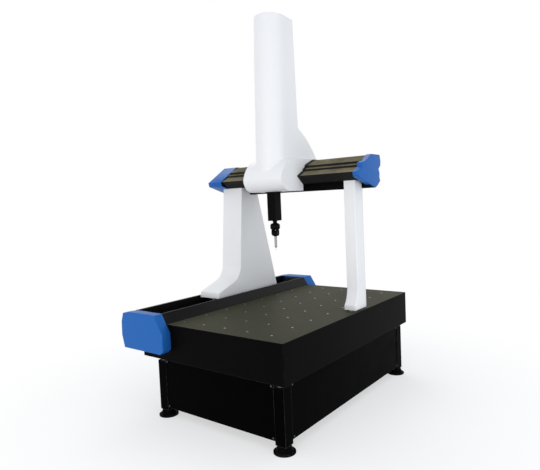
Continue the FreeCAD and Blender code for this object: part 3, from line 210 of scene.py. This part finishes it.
def sprayed_paint(name, colour, gloss_low, gloss_high, peel=0.00004, specular=0.4):
    """Sprayed enamel: fine orange peel, a faint unevenness of tone and of gloss."""
    finish = Finish(name)
    cloud = finish.noise(3.0, 3.0)
    tone = finish.mix(finish.scaled(cloud, 0.0, 0.5), colour, tuple(part * 0.93 for part in colour))
    gloss = finish.scaled(finish.noise(9.0, 5.0), gloss_low, gloss_high)
    peel_normal = finish.bump(finish.noise(420.0, 2.0), 0.25, peel, finish.eased(0.004))
    return finish.done(Base_Color=tone, Roughness=gloss, Specular_IOR_Level=specular, Normal=peel_normal)


def powder_coat(name, colour):
    """Black powder coat: a fine pebbled grain, dull, with a little dust, and edges painted lighter, partly
    as rubbed wear and partly as a painted highlight.
    """
    finish = Finish(name)
    dust = finish.ramp(finish.noise(6.0, 6.0, 0.65), [(0.45, 0.0), (0.8, 1.0)])
    tone = finish.mix(finish.scaled(dust, 0.0, 0.35), colour, tuple(part * 2.0 + 0.0004 for part in colour))
    # The stand's sharp edges are lightened: partly rubbed wear, partly a painted highlight along them.
    tone = finish.mix(finish.rubbed_and_highlit_edges(0.003), tone, (0.10, 0.10, 0.10))
    grain = finish.bump(finish.noise(900.0, 2.0), 0.5, 0.00008)
    return finish.done(Base_Color=tone, Roughness=finish.scaled(dust, 0.42, 0.55), Specular_IOR_Level=0.01,
                       Normal=grain)


def honed_granite(name, dark, top):
    """Black granite: crystals of close greys, sparse pale and dark flecks, honed to a soft sheen. Its top is
    painted lighter and more olive than its sides as painted light from above, and its pale flecks show
    mostly on the top, where that painted light falls.
    """
    finish = Finish(name)
    up = finish.upwards()
    # Painted light: up-facing faces take the lighter top colour and upright sides take the dark one.
    lit_top_share = finish.ramp(up, [(0.6, 0.0), (0.95, 1.0)])
    base = finish.mix(lit_top_share, dark, top)
    crystals = finish.add("ShaderNodeTexVoronoi", {"Vector": finish.place, "Scale": 420.0})
    grey = finish.ramp(crystals.outputs["Color"], [(0.2, 0.55), (0.8, 1.45)])
    tone = finish.mix(0.8, base, grey, "MULTIPLY")
    speck = finish.add("ShaderNodeTexVoronoi", {"Vector": finish.place, "Scale": 150.0})
    pale = finish.ramp(speck.outputs["Distance"], [(0.10, 1.0), (0.16, 0.0)])
    # Painted shade: the pale flecks are dimmed nearly away on the sides and shown on the lit top.
    shown = finish.mix(1.0, pale, finish.scaled(lit_top_share, 0.03, 1.0), "MULTIPLY")
    tone = finish.mix(finish.scaled(shown, 0.0, 0.28), tone, (0.20, 0.19, 0.17))
    # The granite's sharp edges are lightened: partly rubbed wear, partly a painted highlight on the corner.
    tone = finish.mix(finish.scaled(finish.rubbed_and_highlit_edges(0.004), 0.0, 0.7), tone, (0.075, 0.075, 0.07))
    wear = finish.noise(2.2, 5.0, 0.6)
    return finish.done(Base_Color=tone, Roughness=finish.scaled(wear, 0.4, 0.55), Specular_IOR_Level=0.02,
                       Normal=finish.bump(crystals.outputs["Distance"], 0.08, 0.00005))


def moulded_plastic(name, colour, specular=0.15):
    """Painted moulding: fine grain and a soft sheen."""
    finish = Finish(name)
    cloud = finish.noise(5.0, 4.0)
    tone = finish.mix(finish.scaled(cloud, 0.0, 0.4), colour, tuple(part * 0.86 for part in colour))
    grain = finish.bump(finish.noise(1500.0, 2.0), 0.3, 0.00005, finish.eased(0.004))
    return finish.done(Base_Color=tone, Roughness=finish.scaled(finish.noise(12.0), 0.36, 0.48),
                       Specular_IOR_Level=specular, Normal=grain)


def worked_metal(name, colour, lines, rough, strength=0.15):
    """Ground or turned metal: fine lines drawn out by axis, with a varied gloss."""
    finish = Finish(name)
    strokes = finish.noise(1.0, 3.0, 0.5, finish.stretched(lines))
    tone = finish.mix(finish.scaled(strokes, 0.0, 0.5), colour, tuple(part * 0.8 for part in colour))
    gloss = finish.scaled(finish.noise(30.0, 4.0), rough - 0.05, rough + 0.07)
    return finish.done(Base_Color=tone, Metallic=1.0, Roughness=gloss,
                       Normal=finish.bump(strokes, strength, 0.00003))


def coated_cloth(name, clean, dusty_lit):
    """The bellows' coated cloth: a tight weave under a dull skin, paler and browner where it faces up,
    partly as dust and partly as painted light on the up-facing facets.
    """
    finish = Finish(name)
    weave = finish.add("ShaderNodeTexVoronoi", {"Vector": finish.stretched((1400.0, 900.0, 900.0)),
                                                "Scale": 1.0})
    up = finish.upwards()
    # Dust and painted light: up-facing facets are painted paler, and down-facing ones stay near black as
    # painted shade.
    settled_and_lit = finish.ramp(up, [(0.45, 0.0), (0.8, 1.0)])
    patches = finish.ramp(finish.noise(7.0, 4.0, 0.6), [(0.35, 0.45), (0.65, 1.0)])
    dust = finish.mix(1.0, settled_and_lit, patches, "MULTIPLY")
    tone = finish.mix(dust, clean, dusty_lit)
    return finish.done(Base_Color=tone, Roughness=finish.scaled(patches, 0.5, 0.62), Sheen_Weight=0.05,
                       Specular_IOR_Level=0.15,
                       Normal=finish.bump(weave.outputs["Distance"], 0.35, 0.0001))


def black_rubber(name):
    finish = Finish(name)
    haze = finish.noise(40.0, 5.0)
    tone = finish.mix(haze, (0.006, 0.006, 0.006), (0.016, 0.0155, 0.015))
    return finish.done(Base_Color=tone, Roughness=finish.scaled(haze, 0.6, 0.75), Specular_IOR_Level=0.2,
                       Normal=finish.bump(finish.noise(700.0, 2.0), 0.3, 0.00006))


def ruby(name):
    finish = Finish(name)
    depth = finish.noise(300.0, 2.0)
    tone = finish.mix(depth, (0.30, 0.008, 0.02), (0.45, 0.015, 0.035))
    return finish.done(Base_Color=tone, Roughness=finish.scaled(depth, 0.05, 0.1), Coat_Weight=1.0)


def scale_strip(name):
    """A steel scale: fine cross lines on a gold-toned strip."""
    finish = Finish(name)
    lines = finish.add("ShaderNodeTexVoronoi", {"Vector": finish.stretched((900.0, 900.0, 900.0)),
                                                "Scale": 1.0})
    tone = finish.mix(finish.scaled(lines.outputs["Distance"], 0.0, 0.6), (0.50, 0.43, 0.26),
                      (0.30, 0.26, 0.16))
    return finish.done(Base_Color=tone, Metallic=1.0, Roughness=finish.scaled(finish.noise(60.0), 0.25, 0.4))


FINISHES = {
    "stand_paint": powder_coat("stand_powder_coat", STAND_BLACK),
    "foot_paint": powder_coat("foot_powder_coat", (0.0018, 0.0018, 0.0020)),
    "zinc_steel": worked_metal("blackened_steel", (0.10, 0.10, 0.10), (400.0, 400.0, 90.0), 0.45),
    "table_granite": honed_granite("table_granite", GRANITE_DARK, GRANITE_LIT_TOP),
    "insert_steel": worked_metal("insert_steel", (0.58, 0.58, 0.57), (700.0, 700.0, 200.0), 0.3),
    "guide_paint": sprayed_paint("guide_paint", GUIDE_BLACK, 0.34, 0.46, 0.00006, 0.12),
    "blue_plastic": moulded_plastic("blue_cap", CAP_BLUE),
    # The beam granite's top is also painted lighter than its sides: painted light from above.
    "guide_granite": honed_granite("beam_granite", (0.004, 0.004, 0.004), (0.012, 0.012, 0.011)),
    "ground_steel": worked_metal("ground_steel", STEEL, (500.0, 40.0, 500.0), 0.22),
    "scale_steel": scale_strip("scale_steel"),
    "black_rubber": black_rubber("buffer_rubber"),
    "white_paint": sprayed_paint("white_enamel", WHITE_PAINT, 0.34, 0.46),
    "bellows_cloth": coated_cloth("bellows_cloth", BELLOWS_DARK, BELLOWS_DUSTY_LIT),
    "pad_metal": worked_metal("pad_metal", ALUMINIUM, (300.0, 300.0, 300.0), 0.35),
    "wheel_steel": worked_metal("wheel_steel", (0.42, 0.42, 0.42), (300.0, 900.0, 300.0), 0.25),
    "motor_paint": sprayed_paint("motor_paint", (0.012, 0.012, 0.012), 0.4, 0.5, 0.00004, 0.2),
    "reader_metal": worked_metal("reader_metal", (0.20, 0.21, 0.23), (200.0, 200.0, 900.0), 0.4),
    "frame_metal": worked_metal("frame_metal", ALUMINIUM, (250.0, 250.0, 250.0), 0.4),
    "ram_black": sprayed_paint("ram_black", RAM_BLACK, 0.3, 0.4, 0.00003, 0.04),
    "cylinder_metal": worked_metal("cylinder_metal", ALUMINIUM, (600.0, 600.0, 50.0), 0.28),
    "head_black": moulded_plastic("head_black", (0.0025, 0.0025, 0.0027), 0.05),
    "probe_steel": worked_metal("probe_steel", (0.27, 0.27, 0.275), (300.0, 300.0, 1500.0), 0.3, 0.25),
    "stem_steel": worked_metal("stem_steel", (0.60, 0.60, 0.60), (900.0, 900.0, 300.0), 0.18),
    "tip_ruby": ruby("tip_ruby"),
}


def dress_nodes():
    """Every CAD node takes the finish of its material slot."""
    for node, thing in frame["nodes"].items():
        thing.data.materials.clear()
        thing.data.materials.append(FINISHES[SLOTS[node]])


def rounded(shape, edges, width, segments):
    bmesh.ops.bevel(shape, geom=edges, offset=width, offset_type="OFFSET", segments=segments,
                    profile=0.5, affect="EDGES", clamp_overlap=True, material=-1)


def set_in_scene(name, mesh):
    piece = bpy.data.objects.new(name, mesh)
    bpy.context.scene.collection.objects.link(piece)
    return piece


def soft_edged(node, width):
    """Replaces a node by a copy of its own mesh with its sharp edges rounded."""
    mesh = frame["nodes"][node].data.copy()
    shape = bmesh.new()
    shape.from_mesh(mesh)
    bmesh.ops.remove_doubles(shape, verts=shape.verts, dist=SAME_SPOT)
    bmesh.ops.dissolve_limit(shape, angle_limit=FLAT_EDGE, verts=shape.verts, edges=shape.edges)
    sharp = [edge for edge in shape.edges if edge.is_manifold and edge.calc_face_angle(0.0) > SHARP_EDGE]
    rounded(shape, sharp, width, 2)
    bmesh.ops.triangulate(shape, faces=[face for face in shape.faces if len(face.verts) > 4])
    shape.to_mesh(mesh)
    shape.free()
    piece = set_in_scene(node + "_softened", mesh)
    mesh.shade_smooth()
    mesh.set_sharp_from_angle(angle=SHARP_EDGE)
    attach(piece, BODIES[node])
    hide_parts(node)


def bellows_tube(shape, start, long):
    """Draws the bellows' profile out along the beam, and gives its length from hem to hem."""
    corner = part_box("x_beam")[0]
    hem = [shape.verts.new((start, corner[1] + back / 1000, corner[2] + rise / 1000))
           for back, rise in BELLOWS_PROFILE]
    outline = [shape.edges.new(pair) for pair in zip(hem, hem[1:])]
    around = sum(edge.calc_length() for edge in outline)
    drawn = bmesh.ops.extrude_edge_only(shape, edges=outline)["geom"]
    bmesh.ops.translate(shape, vec=(long, 0, 0),
                        verts=[vert for vert in drawn if isinstance(vert, bmesh.types.BMVert)])
    return around


def face_outwards(shape):
    """Turns an open tube's faces outwards, which its topmost face tells."""
    shape.normal_update()
    if max(shape.faces, key=lambda face: face.calc_center_median().z).normal.z < 0:
        bmesh.ops.reverse_faces(shape, faces=shape.faces)
        shape.normal_update()


def push_out(verts, distance):
    for vert in verts:
        vert.co += vert.normal * distance


def give_wall(shape, wall):
    bmesh.ops.solidify(shape, geom=shape.faces, thickness=wall)
    bmesh.ops.recalc_face_normals(shape, faces=shape.faces)


def finished_piece(name, shape, finish):
    mesh = bpy.data.meshes.new(name)
    shape.to_mesh(mesh)
    shape.free()
    mesh.materials.append(finish)
    return set_in_scene(name, mesh)


def pleated_sleeve(node, pleats):
    """Replaces a bellows node by a sleeve of thin pleated cloth."""
    low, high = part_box(node)
    half_fold = (high[0] - low[0]) / (2 * pleats)
    shape = bmesh.new()
    around = bellows_tube(shape, low[0], high[0] - low[0])
    lengthways = [edge for edge in shape.edges if edge.verts[0].co.x != edge.verts[1].co.x]
    bmesh.ops.subdivide_edges(shape, edges=lengthways, cuts=2 * pleats - 1, use_grid_fill=True)
    face_outwards(shape)
    valleys = [vert for vert in shape.verts if round((vert.co.x - low[0]) / half_fold) % 2 == 0]
    push_out(valleys, -PLEAT_DEPTH)
    folds = [edge for edge in shape.edges
             if edge.is_manifold and abs(edge.verts[0].co.x - edge.verts[1].co.x) < half_fold / 2]
    rounded(shape, folds, FOLD_EASE, 1)
    give_wall(shape, CLOTH_WALL)
    sleeve = finished_piece(node + "_cloth", shape, FINISHES["bellows_cloth"])
    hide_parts(node)
    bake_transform(sleeve)


def bellows_collar(name, start):
    """The clean black collar that holds the bellows' last pleats at the carriage."""
    shape = bmesh.new()
    bellows_tube(shape, start, COLLAR_LONG)
    face_outwards(shape)
    push_out(shape.verts, COLLAR_RISE)
    give_wall(shape, COLLAR_WALL)
    corners = [edge for edge in shape.edges if edge.calc_face_angle(0.0) > COLLAR_CORNER]
    rounded(shape, corners, COLLAR_EASE, 2)
    collar = finished_piece(name, shape, FINISHES["black_rubber"])
    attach(collar, "carriage")


def both_bellows():
    """Each sleeve spans from its beam cap to the carriage and ends under a collar that rides on the
    carriage.
    """
    left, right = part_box("left_bellows"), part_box("right_bellows")
    pleated_sleeve("left_bellows", LEFT_PLEATS)
    pleated_sleeve("right_bellows", RIGHT_PLEATS)
    bellows_collar("left_bellows_collar", left[1][0] - COLLAR_LONG)
    bellows_collar("right_bellows_collar", right[0][0])


def lit_floor():
    """A pale floor that keeps the machine's shadow and fades to plain white away from it."""
    bpy.ops.mesh.primitive_plane_add(size=FLOOR_WIDE, location=(0, 0, -FLOOR_DROP))
    floor = bpy.context.object
    floor.name = "floor"
    finish = Finish("pale_floor")
    away = finish.add("ShaderNodeVectorMath", {0: finish.place}, operation="LENGTH")
    fade = {"Value": away.outputs["Value"], "From Min": FLOOR_FADE[0], "From Max": FLOOR_FADE[1],
            "To Min": FLOOR_GLOW}
    far = finish.add("ShaderNodeMapRange", fade, interpolation_type="SMOOTHSTEP")
    path = finish.add("ShaderNodeLightPath")
    seen = finish.add("ShaderNodeMath", {0: path.outputs["Is Camera Ray"], 1: path.outputs["Is Glossy Ray"]},
                      operation="MAXIMUM")
    share = finish.add("ShaderNodeMath", {0: far.outputs["Result"], 1: seen.outputs["Value"]},
                       operation="MULTIPLY")
    white = finish.add("ShaderNodeEmission", {"Color": (*PLAIN_WHITE, 1.0), "Strength": 1.0})
    finish.done(Base_Color=PALE_FLOOR, Roughness=0.9, Specular_IOR_Level=0.0)
    blend = finish.add("ShaderNodeMixShader", {0: share.outputs["Value"],
                                               1: finish.shader.outputs["BSDF"],
                                               2: white.outputs["Emission"]})
    finish.links.new(blend.outputs["Shader"], finish.nodes["Material Output"].inputs["Surface"])
    floor.data.materials.append(finish.material)


def studio_world():
    """White to the camera and in reflections, and an even, slightly cool light on the machine."""
    world = bpy.data.worlds.new("studio")
    bpy.context.scene.world = world
    world.use_nodes = True
    nodes, links = world.node_tree.nodes, world.node_tree.links
    background = nodes["Background"]
    tint = nodes.new("ShaderNodeMix")
    tint.data_type = "RGBA"
    tint.inputs[6].default_value = (*COOL_AIR, 1.0)
    tint.inputs[7].default_value = (*PLAIN_WHITE, 1.0)
    links.new(tint.outputs[2], background.inputs["Color"])
    path = nodes.new("ShaderNodeLightPath")
    seen = path.outputs["Is Camera Ray"]
    for ray in ("Is Glossy Ray", "Is Transmission Ray"):
        most = nodes.new("ShaderNodeMath")
        most.operation = "MAXIMUM"
        links.new(seen, most.inputs[0])
        links.new(path.outputs[ray], most.inputs[1])
        seen = most.outputs["Value"]
    level = nodes.new("ShaderNodeMapRange")
    level.inputs["To Min"].default_value = AMBIENT_LIGHT
    level.inputs["To Max"].default_value = 1.0
    links.new(seen, level.inputs["Value"])
    links.new(seen, tint.inputs[0])
    links.new(level.outputs["Result"], background.inputs["Strength"])


def soft_box(name, spot, aim, size, power, colour):
    """A square lamp at a spot, turned towards a point on the machine, with its power in watts."""
    lamp = bpy.data.lights.new(name, "AREA")
    lamp.color = colour
    lamp.shape = "SQUARE"
    lamp.size = size
    lamp.energy = power
    thing = bpy.data.objects.new(name, lamp)
    thing.location = spot
    thing.rotation_euler = (Vector(aim) - Vector(spot)).to_track_quat("-Z", "Y").to_euler()
    bpy.context.scene.collection.objects.link(thing)


def photo_camera():
    """The photograph's viewpoint, in the machine's own frame."""
    yaw, pitch, roll = CAMERA_TURN
    ahead = Vector((-sin(yaw) * cos(pitch), cos(yaw) * cos(pitch), sin(pitch)))
    level = Vector((cos(yaw), sin(yaw), 0.0))
    upright = level.cross(ahead)
    right = level * cos(roll) + upright * sin(roll)
    up = upright * cos(roll) - level * sin(roll)
    camera = bpy.data.cameras.new("photo_camera")
    camera.sensor_width = CAMERA_FILM
    camera.lens = CAMERA_LENS
    camera.clip_end = 100.0
    thing = bpy.data.objects.new("photo_camera", camera)
    turn = Matrix((right, up, -ahead)).transposed().to_4x4()
    thing.matrix_world = Matrix.Translation(CAMERA_SPOT) @ turn
    bpy.context.scene.collection.objects.link(thing)
    bpy.context.scene.camera = thing


dress_nodes()
for moulding in ("front_guide_cap", "rear_guide_cap", "left_beam_cap", "right_beam_cap"):
    soft_edged(moulding, CAP_EASE)
for casting in ("left_leg", "right_leg"):
    soft_edged(casting, LEG_EASE)
both_bellows()
lit_floor()
studio_world()
soft_box("key_light", (0.7, -5.3, 1.4), (0.0, 0.0, 0.9), 3.4, 76.0, (1.0, 0.985, 0.965))
soft_box("fill_light", (5.4, -0.4, 1.5), (0.0, 0.0, 1.3), 3.4, 52.0, (0.88, 0.95, 1.0))
soft_box("top_light", (-1.9, 2.2, 4.8), (0.0, 0.2, 0.7), 3.0, 45.0, PLAIN_WHITE)
photo_camera()
bpy.context.scene.view_settings.view_transform = "Standard"
